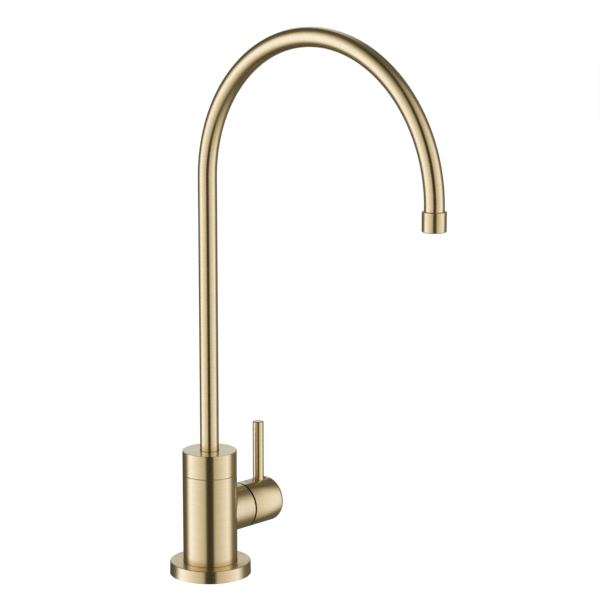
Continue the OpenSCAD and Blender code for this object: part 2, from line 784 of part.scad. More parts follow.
module spout_stem() {
    socket_r = tube_r + joint_gap;
    shoulder_r = cap_r_in - free_gap;
    keeper_root_r = keeper_r_in - free_gap;
    lower_z = lower_seal_z - swivel_groove_w / 2;
    upper_z = upper_seal_z - swivel_groove_w / 2;
    keeper_bottom_z = keeper_z - groove_room / 2;
    keeper_top_z = keeper_z + keeper_t + groove_room / 2;
    color(brass) turned([
        [stem_bore_d / 2, spigot_z], [spigot_r, spigot_z],
        [spigot_r, lower_z], [groove_r, lower_z],
        [groove_r, lower_z + swivel_groove_w], [spigot_r, lower_z + swivel_groove_w],
        [spigot_r, upper_z], [groove_r, upper_z],
        [groove_r, upper_z + swivel_groove_w], [spigot_r, upper_z + swivel_groove_w],
        [spigot_r, keeper_bottom_z], [keeper_root_r, keeper_bottom_z],
        [keeper_root_r, keeper_top_z], [spigot_r, keeper_top_z],
        [spigot_r, shoulder_z], [shoulder_r, shoulder_z],
        [shoulder_r, tube_foot_z], [socket_r + tube_socket_wall, tube_foot_z],
        [socket_r + tube_socket_wall, cap_ceiling_z], [socket_r, cap_ceiling_z],
        [socket_r, tube_foot_z], [stem_bore_d / 2, tube_foot_z]
    ]);
}

module spout_seal(z) {
    color(rubber) translate([0, 0, z])
        o_ring(swivel_r - seal_gap - swivel_cord_d / 2, swivel_cord_d);
}

module spout_o_ring_lower() {
    spout_seal(lower_seal_z);
}

module spout_o_ring_upper() {
    spout_seal(upper_seal_z);
}

module outlet_collar() {
    lip_r = outlet_bore_r - lip_w;
    color(gold) translate([0, outlet_y, collar_z]) turned([
        [lip_r, 0], [collar_r - collar_edge, 0], [collar_r, collar_edge],
        [collar_r, collar_h - collar_edge], [collar_r - collar_edge, collar_h],
        [outlet_bore_r, collar_h], [outlet_bore_r, lip_h], [lip_r, lip_h]
    ]);
}

module flow_straightener() {
    color(white_plastic) translate([0, outlet_y, collar_z + lip_h]) difference() {
        cylinder(r = insert_r, h = straightener_h);
        translate([0, 0, -cut]) cylinder(d = channel_d, h = straightener_h + 2 * cut);
        for (row = [1 : channel_rows], i = [0 : 6 * row - 1]) rotate(i * 60 / row)
            translate([row * channel_pitch, 0, -cut])
                cylinder(d = channel_d, h = straightener_h + 2 * cut, $fn = channel_fn);
    }
}

module outlet_screen() {
    pitch = screen_pitch;
    reach = floor((insert_r - outlet_gasket_w - screen_hole) / pitch);
    color(steel) translate([0, outlet_y, screen_z]) difference() {
        cylinder(r = insert_r, h = screen_t);
        for (i = [-reach : reach], j = [-reach : reach])
            if (norm([i, j]) * pitch < insert_r - outlet_gasket_w - screen_hole / 2)
                translate([i * pitch - screen_hole / 2, j * pitch - screen_hole / 2, -cut])
                    cube([screen_hole, screen_hole, screen_t + 2 * cut]);
    }
}

module outlet_gasket() {
    color(rubber) translate([0, outlet_y, outlet_gasket_z])
        ring(insert_r, insert_r - outlet_gasket_w, outlet_gasket_t);
}

module handle_hub() {
    spigot_r_out = mouth_r - free_gap;
    color(gold) difference() {
        on_valve_axis(0) turned(concat(
            [
                [0, hub_inner_x], [spigot_r_out - hub_spigot_wall, hub_inner_x],
                [spigot_r_out - hub_spigot_wall, hub_x - hub_gap - hub_spigot_l],
                [spigot_r_out, hub_x - hub_gap - hub_spigot_l], [spigot_r_out, hub_x],
                [valve_r - body_edge, hub_x], [valve_r, hub_x + body_edge]
            ],
            arc(valve_r - hub_edge_r, hub_end_x - hub_edge_r, hub_edge_r, 0, 90, 12),
            [[0, hub_end_x]]
        ));
        // splined socket for the stem
        on_valve_axis(hub_inner_x - cut)
            linear_extrude(hub_socket_end_x - hub_inner_x + cut) splines(joint_gap);
        // seat and tapped hole for the lever
        translate([lever_x, 0, lever_seat_z]) cylinder(r = lever_r + joint_gap, h = valve_r);
        translate([lever_x, 0, lever_foot_z - lever_hole_room])
            cylinder(d = lever_thread_d + 2 * joint_gap, h = lever_thread_l + 2 * lever_hole_room);
        // tapped hole for the screw, on the underside
        translate([set_screw_x, 0, valve_z - valve_r - cut])
            cylinder(r = set_screw_r + joint_gap, h = valve_r + cut);
    }
}

module handle_lever() {
    color(gold) translate([lever_x, 0, 0]) turned([
        [0, lever_foot_z], [lever_thread_d / 2, lever_foot_z], [lever_thread_d / 2, lever_seat_z],
        [lever_r, lever_seat_z], [lever_r, lever_top_z - lever_edge],
        [lever_r - lever_edge, lever_top_z], [0, lever_top_z]
    ]);
}

module hub_set_screw() {
    tip_z = valve_z - stem_r - joint_gap / 2;
    key_depth = set_screw_l / 2;
    color(steel) translate([set_screw_x, 0, tip_z - set_screw_l]) difference() {
        cylinder(r = set_screw_r, h = set_screw_l);
        translate([0, 0, -cut]) cylinder(d = set_screw_key / cos(30), h = key_depth + cut, $fn = 6);
    }
}

module valve_stem() {
    driver_r = moving_disc_r - joint_gap;
    prong_r = driver_r - joint_gap;
    seal_root_r = stem_r - stem_cord_d - 2 * stem_seal_slack;
    groove_u = stem_groove_u;
    prong_u = moving_disc_u + free_gap;
    color(brass) on_valve_axis(floor_x) {
        turned([
            [0, driver_u], [driver_r, driver_u], [driver_r, slip_washer_u], [stem_r, slip_washer_u],
            [stem_r, groove_u], [seal_root_r, groove_u],
            [seal_root_r, groove_u + stem_groove_w], [stem_r, groove_u + stem_groove_w],
            [stem_r, neck_end_u], [snap_groove_r, neck_end_u],
            [snap_groove_r, neck_end_u + snap_groove_w], [stem_r, neck_end_u + snap_groove_w],
            [stem_r, spline_u], [0, spline_u]
        ]);
        translate([0, 0, spline_u - stem_land / 2])
            linear_extrude(stem_end_x - floor_x - spline_u + stem_land / 2) splines(0);
        // two prongs that turn the moving disc
        translate([0, 0, prong_u]) intersection() {
            ring(prong_r, prong_r - prong_t, driver_u - prong_u + driver_t / 2);
            translate([-cartridge_d, -prong_w / 2, 0])
                cube([2 * cartridge_d, prong_w, driver_u]);
        }
    }
}

module moving_ceramic_disc() {
    notch_w = prong_w + 2 * joint_gap;
    notch_r = moving_disc_r - 4 * joint_gap - prong_t;
    color(ceramic) on_valve_axis(floor_x + moving_disc_u) difference() {
        cylinder(r = moving_disc_r, h = disc_t);
        translate([0, 0, -cut]) rotate(90) linear_extrude(disc_t + 2 * cut) ports();
        for (side = [0, 180]) rotate(side)
            translate([notch_r, -notch_w / 2, -cut]) cube([cartridge_d, notch_w, disc_t + 2 * cut]);
    }
}

module stem_o_ring() {
    color(rubber) on_valve_axis(floor_x + stem_groove_u + stem_groove_w / 2)
        o_ring(stem_r - stem_seal_slack - stem_cord_d / 2, stem_cord_d);
}

module stem_slip_washer() {
    color(white_plastic) on_valve_axis(floor_x + slip_washer_u)
        ring(moving_disc_r, stem_r + joint_gap, slip_washer_t);
}

module stem_snap_ring() {
    snap_r_in = snap_groove_r + joint_gap;
    color(steel) on_valve_axis(floor_x + neck_end_u)
        split_ring(snap_r_in + snap_ring_w, snap_r_in, snap_ring_t);
}

base_flange();
base_gasket();
valve_body();
spout_glide_ring();
spout_keeper_ring();
cartridge_housing();
cartridge_inlet_seal();
fixed_ceramic_disc();
cartridge_o_ring();
cartridge_ring_nut();
threaded_shank();
shank_seal();
deck_rubber_washer();
deck_steel_washer();
mounting_nut();
adapter_body();
adapter_gasket();
adapter_o_ring();
grab_ring();
adapter_end_sleeve();
release_collet();
spout_tube();
spout_cap();
spout_stem();
spout_o_ring_lower();
spout_o_ring_upper();
outlet_collar();
flow_straightener();
outlet_screen();
outlet_gasket();
handle_hub();
handle_lever();
hub_set_screw();
valve_stem();
moving_ceramic_disc();
stem_o_ring();
stem_slip_washer();
stem_snap_ring();
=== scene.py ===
# Looks of a tall drinking water tap in brushed gold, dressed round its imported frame.
# Metres. z = 0 is the top of the sink deck, the gooseneck reaches towards -Y and
# the side valve lies along +X. MM turns a drawing's millimetres into metres.
import math

import bmesh
import bpy
import numpy as np
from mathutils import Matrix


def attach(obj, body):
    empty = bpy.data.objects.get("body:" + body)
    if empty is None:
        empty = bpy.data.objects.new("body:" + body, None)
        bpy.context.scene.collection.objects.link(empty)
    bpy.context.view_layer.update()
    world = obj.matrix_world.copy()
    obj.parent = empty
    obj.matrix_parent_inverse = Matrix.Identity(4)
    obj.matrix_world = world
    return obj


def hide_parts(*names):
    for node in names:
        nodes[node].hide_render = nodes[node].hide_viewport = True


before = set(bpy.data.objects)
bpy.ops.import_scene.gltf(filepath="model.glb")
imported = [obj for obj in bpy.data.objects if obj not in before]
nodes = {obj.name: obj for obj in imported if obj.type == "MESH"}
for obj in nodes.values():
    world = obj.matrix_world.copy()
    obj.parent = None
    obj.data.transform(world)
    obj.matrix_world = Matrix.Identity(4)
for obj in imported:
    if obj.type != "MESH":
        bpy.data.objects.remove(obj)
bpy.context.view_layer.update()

MM = 0.001
FULL_TURN = 2 * math.pi

# Main sizes of the tap, in millimetres
FLANGE_TOP_Z = 7.5
BODY_R = 16.0
BODY_TOP_Z = 60.5
VALVE_R = 13.5
VALVE_Z = 35.5
BARREL_END_X = 25.0
HUB_START_X = 25.8
HUB_END_X = 49.8
HUB_EDGE_R = 3.0
SET_SCREW_X = 33.8
LEVER_X = 40.8
LEVER_TOP_Z = 84.5
CAP_FOOT_Z = 60.8
CAP_TOP_Z = 74.5
TUBE_R = 5.5
TUBE_BORE_R = 4.7
TUBE_FOOT_Z = 64.0
TUBE_END_Z = 229.2
ARCH_R = 84.5
ARCH_Z = 235.5
OUTLET_Y = -2 * ARCH_R
COLLAR_FOOT_Z = 223.0
COLLAR_TOP_Z = 234.0
DECK_UNDERSIDE_Z = -30.0
RUBBER_FOOT_Z = -33.0
STEEL_FOOT_Z = -34.6
NUT_FLATS = 24.0
NUT_PITCH = 1.5
ADAPTER_FLATS = 17.0
ADAPTER_FLUTES = 24

# The shank's screw threads, in millimetres: depth, pitch, lower end and upper end
TAIL_THREAD = (0.62, 1.06, -60.9, -52.5)
LARGE_THREAD = (0.88, NUT_PITCH, -51.4, -0.4)
UPPER_THREAD = (0.58, 1.0, 0.6, 16.3)

Z_AXIS = (0.0, 0.0, 1.0)
X_AXIS = (1.0, 0.0, 0.0)
UPRIGHT_CENTRE = (0, 0, 0)
VALVE_CENTRE = (0, 0, VALVE_Z)


# Meshes

def grid_mesh(name, points, uv=None, sharp=math.radians(35)):
    """A closed skin over a grid of points that meets itself both ways.

    points has the shape (rows, columns, 3) in millimetres. Square (i, j) joins the
    points (i, j), (i, j+1), (i+1, j+1), (i+1, j), where the last row meets the first
    row and the last column meets the first. uv, if given, has the shape
    (rows + 1, columns + 1, 2), so that the pattern doesn't run back at the joins.
    """
    rows, columns = points.shape[:2]
    i, j = np.meshgrid(np.arange(rows), np.arange(columns), indexing="ij")
    up, across = (i + 1) % rows, (j + 1) % columns
    squares = np.stack(
        [i * columns + j, i * columns + across, up * columns + across, up * columns + j],
        axis=-1,
    ).reshape(-1, 4)
    mesh = bpy.data.meshes.new(name)
    mesh.from_pydata((points.reshape(-1, 3) * MM).tolist(), [], squares.tolist())
    if uv is not None:
        corners = np.stack([uv[:-1, :-1], uv[:-1, 1:], uv[1:, 1:], uv[1:, :-1]], axis=2)
        layer = mesh.uv_layers.new(name="along_the_piece")
        layer.data.foreach_set("uv", corners.reshape(-1).astype(np.float32))
    mesh.validate()
    mesh.shade_smooth()
    mesh.set_sharp_from_angle(angle=sharp)
    piece = bpy.data.objects.new(name, mesh)
    bpy.context.scene.collection.objects.link(piece)
    return piece


def turned_mesh(name, outline, columns, radius_at=None, sharp=math.radians(35)):
    """A closed turned skin about the z axis whose radius may also change round it.

    outline lists (radius, height) round the half section, anticlockwise, so outer
    wall upwards and bore downwards. radius_at(radius, height, angle) gives the real
    radius there. A point is (radius cos angle, radius sin angle, height).
    """
    outline = np.asarray(outline, float)
    angle = np.arange(columns) / columns * FULL_TURN
    radius, a = np.meshgrid(outline[:, 0], angle, indexing="ij")
    height = np.meshgrid(outline[:, 1], angle, indexing="ij")[0]
    r = radius_at(radius, height, a) if radius_at else radius
    points = np.stack([r * np.cos(a), r * np.sin(a), height], -1)
    return grid_mesh(name, points, sharp=sharp)


def straight(radius, start, end, step):
    """Rows of an outline along a straight wall, about one step apart."""
    height = np.linspace(start, end, max(2, round(abs(end - start) / step) + 1))
    return np.stack([np.full_like(height, radius), height], -1)


def rounded(centre, radius, start, end, steps=5):
    """Rows of an outline round an edge: centre + radius (cos a, sin a), a in degrees.

    One more row lies on the flat at each end, a seventh of the radius further along
    the tangent (-sin a, cos a), so that the round's shading stays on the round.
    """
    a = np.radians(np.linspace(start, end, steps))
    round_rows = np.asarray(centre) + radius * np.stack([np.cos(a), np.sin(a)], -1)
    along = radius / 7 * np.stack([-np.sin(a), np.cos(a)], -1)
    return np.concatenate([round_rows[:1] - along[:1], round_rows, round_rows[-1:] + along[-1:]])


def groove_share(height, angle, pitch, start, end):
    """How deep a screw thread is there, from 0 on its crest to 1 in its root.

    The phase is height / pitch - angle / full turn, and d is its distance from the
    root, from 0 to 1. The root is flat up to d = 0.25, the crest from d = 0.875, and
    the flank between them is straight. The thread runs out over one pitch at each end.
    """
    phase = (height / pitch - angle / FULL_TURN) % 1.0
    d = 2 * np.abs(phase - 0.5)
    share = np.clip((0.875 - d) / 0.625, 0.0, 1.0)
    run_in = np.clip((height - start) / pitch, 0.0, 1.0)
    run_out = np.clip((end - height) / pitch, 0.0, 1.0)
    return share * run_in * run_out


def hexagon(flats, angle):
    """Radius of a hexagon with a corner at angle 0: half the flats / cos(angle off the flat)."""
    return 0.5 * flats / np.cos(angle % math.radians(60) - math.radians(30))


# Finishes

class Finish:
    """The shader of a material or a world being mixed. Most calls add one node."""

    def __init__(self, owner):
        owner.use_nodes = True
        self.owner = owner
        self.tree = owner.node_tree
        self.tree.nodes.clear()

    def add(self, kind, *values, out=0, sockets=None, **settings):
        """Adds a node of this kind and returns one of its outputs, named or counted by out.

        values fill the node's sockets in their order, and sockets fills others by name
        or number. Each is a number, a colour, a vector or another node's output.
        """
        node = self.tree.nodes.new("ShaderNode" + kind)
        for key, value in settings.items():
            setattr(node, key, value)
        for socket, value in list(zip(node.inputs, values)) + [
            (node.inputs[key], value) for key, value in (sockets or {}).items()
        ]:
            if isinstance(value, bpy.types.NodeSocket):
                self.tree.links.new(value, socket)
            else:
                socket.default_value = value
        return node.outputs[out] if node.outputs else None

    def math(self, operation, *values):
        return self.add("Math", *values, operation=operation)

    def vector(self, operation, *values):
        return self.add("VectorMath", *values, operation=operation)

    def measure(self, operation, *values):
        """A vector sum that gives one number: a length or a dot product."""
        return self.add("VectorMath", *values, operation=operation, out=1)

    def join(self, x, y, z):
        return self.add("CombineXYZ", x, y, z)

    def split(self, vector):
        """The x, y and z of a vector."""
        return tuple(self.add("SeparateXYZ", vector).node.outputs)

    def place(self):
        """Where the point is on the piece, in metres."""
        return self.add("TexCoord", out=3)

    def outwards(self):
        """The surface's own direction there."""
        return self.add("NewGeometry", out=1)

    def noise(self, x, y, z, w, detail=1.0, roughness=0.5):
        """Noise of four numbers, mostly from 0.35 to 0.65."""
        return self.add(
            "TexNoise", noise_dimensions="4D",
            sockets={"Vector": self.join(x, y, z), "W": w, "Scale": 1.0, "Detail": detail,
                     "Roughness": roughness},
        )

    def brushing(self, lathe, per_metre, around, detail=1.0, roughness=0.5):
        """Streaks that run round a turned piece and close on themselves.

        They are noise of (out, along) times per_metre, so fine out from the lathe's axis
        and along it, and of the cosine and sine round it times around, so slow round it.
        """
        return self.noise(
            self.math("MULTIPLY", lathe.out, per_metre),
            self.math("MULTIPLY", lathe.along, per_metre),
            self.math("MULTIPLY", lathe.cosine, around),
            self.math("MULTIPLY", lathe.sine, around), detail, roughness,
        )

    def spots(self, scale, detail, roughness):
        """Plain noise over the piece, mostly from 0.3 to 0.7."""
        return self.add("TexNoise", sockets={"Vector": self.place(), "Scale": scale,
                                             "Detail": detail, "Roughness": roughness})

    def remap(self, value, low, high, to_low, to_high):
        return self.add("MapRange", value, low, high, to_low, to_high)

    def blend(self, share, a, b):
        """Colour a where share is 0, colour b where it is 1."""
        return self.add("Mix", out=2, data_type="RGBA",
                        sockets={0: share, 6: a, 7: b})

    def bump(self, height, depth_mm):
        return self.add("Bump", sockets={"Strength": 1.0, "Distance": depth_mm * MM,
                                         "Height": height})

    def surface(self, **sockets):
        """Ends the finish: the shader with these sockets, to the material's output."""
        shader = self.add("BsdfPrincipled", sockets={
            key.replace("_", " ").title(): value for key, value in sockets.items()})
        self.add("OutputMaterial", shader)
        return self.owner


class Lathe:
    """How a turned piece sits on its lathe.

    along and out are metres along the axis and out from it. cosine and sine are those of
    the turn round it. facing goes from 0 on a wall round the axis to 1 on a face square
    to it, and groove is the way that the tool cuts.
    """

    def __init__(self, finish, axis, centre_mm):
        side = X_AXIS if axis == Z_AXIS else Z_AXIS
        other = tuple(np.cross(axis, side))
        arm = finish.vector("SUBTRACT", finish.place(), tuple(c * MM for c in centre_mm))
        self.along = finish.measure("DOT_PRODUCT", arm, axis)
        spoke = finish.vector("SUBTRACT", arm, finish.vector("MULTIPLY", arm, axis))
        self.out = finish.measure("LENGTH", spoke)
        way = finish.vector("NORMALIZE", spoke)
        self.cosine = finish.measure("DOT_PRODUCT", way, side)
        self.sine = finish.measure("DOT_PRODUCT", way, other)
        outward = finish.measure("DOT_PRODUCT", finish.outwards(), way)
        self.facing = finish.math("SUBTRACT", 1.0, finish.math("MULTIPLY", outward, outward))
        self.groove = finish.vector("CROSS_PRODUCT", axis, spoke)

    def give_way(self, finish, other, share):
        """Where share is 1, the other lathe takes this one's place."""
        for measure in ("along", "out", "cosine", "sine", "facing"):
            setattr(self, measure, finish.add("Mix", sockets={
                0: share, 2: getattr(self, measure), 3: getattr(other, measure)}))
        self.groove = finish.add("Mix", data_type="VECTOR", out=1,
                                 sockets={0: share, 4: self.groove, 5: other.groove})
        return self


GOLD = (0.83, 0.67, 0.405, 1.0)
GOLD_DEEP = (0.80, 0.635, 0.37, 1.0)
# Paler gold painted on edges as highlights
GOLD_HIGHLIGHT = (0.88, 0.74, 0.50, 1.0)
# Very dark gold painted as shade in the hollow behind the hub
HOLLOW_SHADE = (0.04, 0.03, 0.018, 1.0)
# Dark gold painted as shade in the seams where two pieces meet
SEAM_SHADE = (0.06, 0.045, 0.025, 1.0)

# Streaks of the finishes to a metre
FINE_STREAKS = 7000.0
BROAD_STREAKS = 2200.0
TUBE_BROAD_STREAKS = 1200.0
TOOL_RINGS = 5200.0

# How far a painted highlight on an edge takes the paler gold and how much smoother that edge is,
# and what the painted shade adds to the roughness
EDGE_HIGHLIGHT_SHARE = 0.75
EDGE_HIGHLIGHT_SMOOTHER = -0.06
DULLER = 0.3


def gold_tone(f, streaks):
    """The gold's colour, deeper where the streaks are low."""
    return f.blend(f.remap(streaks, 0.36, 0.64, 0.0, 1.0), GOLD_DEEP, GOLD)


def brushed_gold(name, lathe_of, edges=(), roughness=(0.20, 0.26), depth=0.0006,
                 faced=0.03, grain=0.8, shaded_hollow=None, seams=()):
    """Gold plating over fine turned brushing.

    Fine and broad streaks together set the roughness and the colour, and the fine ones a
    bump of depth millimetres. roughness is (smoothest, roughest). Faces square to the
    axis are brushed coarser, by faced more roughness. grain is how much the brushing
    streaks the reflections. edges lists (along, width) in millimetres of edges that get
    a painted highlight: a paler gold, with a smoother finish. shaded_hollow is (along,
    radius) in millimetres: nearer the body than that and inside that radius the gold is
    painted dark as shade and is dull, in the seam behind the hub. seams lists (along,
    radius, width, share), the first three in millimetres: the circles where two pieces
    meet, which get a line of painted shade, and the share of the gold that it hides.
    """
    f = Finish(bpy.data.materials.new(name))
    lathe = lathe_of(f)
    fine = f.brushing(lathe, FINE_STREAKS, 3.0)
    broad = f.brushing(lathe, BROAD_STREAKS, 1.6)
    streaks = f.math("MULTIPLY_ADD", broad, 0.4, f.math("MULTIPLY", fine, 0.6))
    tone = gold_tone(f, streaks)
    rough = f.remap(streaks, 0.35, 0.65, roughness[1], roughness[0])
    rough = f.math("MULTIPLY_ADD", lathe.facing, faced, rough)
    # Painted highlight: a paler, smoother band along each listed edge.
    for at, width in edges:
        edge_highlight = f.remap(f.math("ABSOLUTE", f.math("SUBTRACT", lathe.along, at * MM)),
                       0.0, width * MM, EDGE_HIGHLIGHT_SHARE, 0.0)
        tone = f.blend(edge_highlight, tone, GOLD_HIGHLIGHT)
        rough = f.math("MULTIPLY_ADD", edge_highlight, EDGE_HIGHLIGHT_SMOOTHER, rough)
    # Painted shade in the hollow behind the hub: the gold there is made dark and dull.
    if shaded_hollow:
        hollow_shade_share = f.math("MULTIPLY", f.math("LESS_THAN", lathe.along, shaded_hollow[0] * MM),
                          f.math("LESS_THAN", lathe.out, shaded_hollow[1] * MM))
        tone = f.blend(hollow_shade_share, tone, HOLLOW_SHADE)
        rough = f.math("MULTIPLY_ADD", hollow_shade_share, DULLER, rough)
    # Painted shade: a dark, duller line round each seam where two pieces meet.
    for at, radius, width, share in seams:
        corner = f.join(f.math("SUBTRACT", lathe.along, at * MM),
                        f.math("SUBTRACT", lathe.out, radius * MM), 0.0)
        painted_seam_shade = f.remap(f.measure("LENGTH", corner), 0.55 * width * MM, width * MM, share, 0.0)
        tone = f.blend(painted_seam_shade, tone, SEAM_SHADE)
        rough = f.math("MULTIPLY_ADD", painted_seam_shade, DULLER, rough)
    spread = f.vector("CROSS_PRODUCT", f.outwards(), lathe.groove)
    return f.surface(
        base_color=tone, metallic=1.0, roughness=rough, anisotropic=grain,
        tangent=spread, normal=f.bump(fine, depth), coat_weight=0.08, coat_roughness=0.2,
    )


def on_lathe(axis, centre_mm):
    """For brushed_gold: the lathe about one axis."""
    return lambda f: Lathe(f, axis, centre_mm)


# Where the side barrel's own length starts to count, in millimetres: far from the body's
BARREL_MARK = 1000.0


def body_and_barrel(f):
    """For brushed_gold: the body's upright lathe within its radius, the barrel's beyond it.

    The barrel's length counts from BARREL_MARK, so that its edges aren't the body's.
    """
    upright = Lathe(f, Z_AXIS, UPRIGHT_CENTRE)
    level = Lathe(f, X_AXIS, VALVE_CENTRE)
    level.along = f.math("ADD", level.along, BARREL_MARK * MM)
    on_barrel = f.math("GREATER_THAN", upright.out, (BODY_R + 0.05) * MM)
    return upright.give_way(f, level, on_barrel)


def satin_tube(name):
    """The gooseneck's gold: finer brushing, read from the tube's own length and turn.

    The streaks are noise of the length and of the cosine and sine of the turn. A line
    of painted shade lies where the tube comes out of the cap.
    """
    f = Finish(bpy.data.materials.new(name))
    length, share, _ = f.split(f.add("UVMap", uv_map="along_the_piece"))
    turn = f.math("MULTIPLY", share, FULL_TURN)
    c, s = f.math("COSINE", turn), f.math("SINE", turn)
    fine = f.noise(f.math("MULTIPLY", length, FINE_STREAKS), c, 0.0, s)
    broad = f.noise(f.math("MULTIPLY", length, TUBE_BROAD_STREAKS),
                    f.math("MULTIPLY", c, 0.8), 0.0, f.math("MULTIPLY", s, 0.8))
    streaks = f.math("MULTIPLY_ADD", broad, 0.5, f.math("MULTIPLY", fine, 0.5))
    tone = gold_tone(f, streaks)
    rough = f.remap(streaks, 0.35, 0.65, 0.235, 0.19)
    # Painted shade: a dark line where the tube comes out of the cap.
    from_cap = f.math("SUBTRACT", length, (CAP_TOP_Z - TUBE_FOOT_Z) * MM)
    painted_seam_shade = f.remap(f.math("ABSOLUTE", from_cap), 0.1 * MM, 0.35 * MM, 0.75, 0.0)
    tone = f.blend(painted_seam_shade, tone, SEAM_SHADE)
    return f.surface(
        base_color=tone, metallic=1.0, roughness=rough, anisotropic=0.6,
        tangent=f.add("Tangent", direction_type="UV_MAP", uv_map="along_the_piece"),
        normal=f.bump(fine, 0.0004), coat_weight=0.08, coat_roughness=0.15,
    )


def machined(name, tone, deep, axis, centre_mm, roughness):
    """Bare turned metal: brass or steel with visible tool rings and a few stains."""
    f = Finish(bpy.data.materials.new(name))
    lathe = Lathe(f, axis, centre_mm)
    rings = f.brushing(lathe, TOOL_RINGS, 1.0, 2.0, 0.6)
    stains = f.spots(420.0, 3.0, 0.6)
    colour = f.blend(f.remap(rings, 0.35, 0.65, 0.0, 1.0), deep, tone)
    colour = f.blend(f.remap(stains, 0.62, 0.8, 0.0, 0.5), colour, deep)
    rough = f.math("ADD", f.remap(rings, 0.3, 0.7, 0.08, -0.05),
                   f.remap(stains, 0.5, 0.8, roughness, roughness + 0.12))
    spread = f.vector("CROSS_PRODUCT", f.outwards(), lathe.groove)
    return f.surface(base_color=colour, metallic=1.0, roughness=rough, anisotropic=0.5,
                     tangent=spread, normal=f.bump(rings, 0.002))


def moulded(name, tone, deep, roughness, grain=2600.0, depth=0.01):
    """Moulded rubber, plastic or fired ceramic: a fine grain with a cloudy tone.

    grain counts the grains to a metre, and depth is the height of their bump in
    millimetres.
    """
    f = Finish(bpy.data.materials.new(name))
    grains = f.spots(grain, 3.0, 0.6)
    clouds = f.spots(160.0, 2.0, 0.5)
    colour = f.blend(f.remap(clouds, 0.3, 0.7, 0.0, 1.0), deep, tone)
    rough = f.remap(grains, 0.3, 0.7, roughness - 0.07, roughness + 0.07)
    return f.surface(base_color=colour, roughness=rough, normal=f.bump(grains, depth))


BRASS, BRASS_DEEP = (0.80, 0.62, 0.30, 1), (0.62, 0.44, 0.19, 1)
STEEL, STEEL_DEEP = (0.62, 0.61, 0.59, 1), (0.45, 0.44, 0.43, 1)

# The body's foot on the flange gets a line of painted shade.
FLANGE_SEAM = (FLANGE_TOP_Z, BODY_R, 0.28, 0.6)
# Body: a painted highlight at its top edge, painted shade at its foot and at the barrel's end by
# the hub.
gold_body = brushed_gold("brushed_gold_body", body_and_barrel, edges=[(BODY_TOP_Z, 0.5)],
                         seams=[FLANGE_SEAM, (BARREL_MARK + BARREL_END_X, VALVE_R, 0.55, 0.9)])
# Flange and cap: painted highlights at the cap's edges, painted shade at the body's foot and
# round the tube's foot.
gold_upright = brushed_gold("brushed_gold_upright", on_lathe(Z_AXIS, UPRIGHT_CENTRE),
                            edges=[(CAP_FOOT_Z, 0.45), (CAP_TOP_Z, 0.45)],
                            seams=[FLANGE_SEAM, (CAP_TOP_Z, TUBE_R, 0.4, 0.85)])
# Hub: painted highlights at both ends, painted shade in the hollow at its inner end.
gold_hub = brushed_gold("brushed_gold_hub", on_lathe(X_AXIS, VALVE_CENTRE),
                        edges=[(HUB_START_X + 0.3, 0.3), (HUB_END_X - 0.4, 0.9)],
                        shaded_hollow=(HUB_START_X + 0.15, VALVE_R - 0.1),
                        grain=0.7, roughness=(0.19, 0.25))
# Lever: a painted highlight at its top edge.
gold_lever = brushed_gold("brushed_gold_lever", on_lathe(Z_AXIS, (LEVER_X, 0, 0)),
                          edges=[(LEVER_TOP_Z, 0.6)])
# Collar: painted highlights at both edges.
gold_collar = brushed_gold("brushed_gold_collar", on_lathe(Z_AXIS, (0, OUTLET_Y, 0)),
                           edges=[(COLLAR_FOOT_Z, 0.5), (COLLAR_TOP_Z, 0.5)],
                           roughness=(0.25, 0.31))
gold_tube = satin_tube("brushed_gold_tube")
brass_upright = machined("raw_brass_upright", BRASS, BRASS_DEEP, Z_AXIS, UPRIGHT_CENTRE, 0.27)
brass_valve = machined("raw_brass_valve", BRASS, BRASS_DEEP, X_AXIS, VALVE_CENTRE, 0.24)
steel_upright = machined("stainless_upright", STEEL, STEEL_DEEP, Z_AXIS, UPRIGHT_CENTRE, 0.30)
steel_valve = machined("stainless_valve", STEEL, STEEL_DEEP, X_AXIS, VALVE_CENTRE, 0.26)
steel_screw = machined("stainless_screw", STEEL, STEEL_DEEP, Z_AXIS, (SET_SCREW_X, 0, 0), 0.30)
steel_outlet = machined("stainless_outlet", STEEL, STEEL_DEEP, Z_AXIS, (0, OUTLET_Y, 0), 0.24)
rubber = moulded("black_rubber", (0.030, 0.030, 0.032, 1), (0.018, 0.018, 0.020, 1), 0.62,
                 3400.0, 0.018)
white_plastic = moulded("white_plastic", (0.80, 0.80, 0.77, 1), (0.74, 0.74, 0.70, 1), 0.38)
grey_plastic = moulded("grey_plastic", (0.27, 0.29, 0.31, 1), (0.22, 0.235, 0.255, 1), 0.46,
                       1900.0, 0.02)
ceramic = moulded("fired_ceramic", (0.80, 0.77, 0.70, 1), (0.74, 0.70, 0.62, 1), 0.16,
                  5200.0, 0.003)


# Pieces

def coat(piece, finish):
    """Gives a piece one finish all over."""
    piece.data.materials.clear()
    piece.data.materials.append(finish)


def dress(piece, finish):
    """Gives a new piece its finish."""
    coat(piece, finish)


